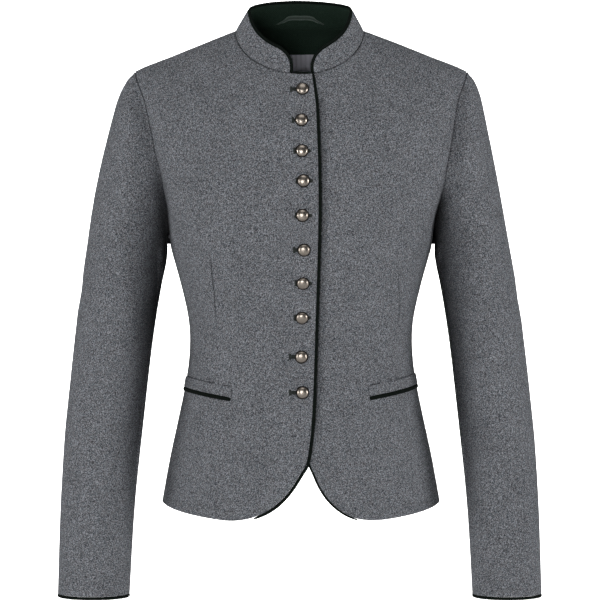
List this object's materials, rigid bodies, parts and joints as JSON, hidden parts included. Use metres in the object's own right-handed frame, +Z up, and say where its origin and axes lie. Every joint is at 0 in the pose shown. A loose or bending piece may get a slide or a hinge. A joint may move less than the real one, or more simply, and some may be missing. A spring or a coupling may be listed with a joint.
{
  "type": "tyrolean loden jacket",
  "caption": "Fitted grey loden jacket with a stand collar, dark piping, long sleeves, hip pockets, a rounded front hem and domed metal buttons, filled out as worn.",
  "frame": {"origin": "on the jacket's centre line, level with the side neck points, where the foot of the collar lies on the wearer's shoulders", "axes": "+Z up, +Y to the wearer's back, +X to the wearer's left"},
  "size_m": [0.5734, 0.241, 0.7004],
  "materials": {
    "loden": "fulled wool, grey mixture, matt",
    "trim": "dark green cloth, matt",
    "lining": "smooth grey lining",
    "metal": "antique silver, worn satin"
  },
  "bodies": {
    "root": {"back": "loden", "front_right": "loden", "front_left": "loden", "sleeve_right": "loden", "sleeve_left": "loden", "collar": "loden", "pocket_welt_right": "loden", "pocket_welt_left": "loden", "collar_facing": "trim", "neck_facing": "trim", "hanger_loop": "trim", "piping_collar": "trim", "piping_cuff_left": "trim", "piping_cuff_right": "trim", "piping_front_left": "trim", "piping_front_right": "trim", "pocket_piping_left": "trim", "pocket_piping_right": "trim", "back_lining": "lining", "button_01": "metal", "button_02": "metal", "button_03": "metal", "button_04": "metal", "button_05": "metal", "button_06": "metal", "button_07": "metal", "button_08": "metal", "button_09": "metal", "button_10": "metal"}
  },
  "joints": []
}
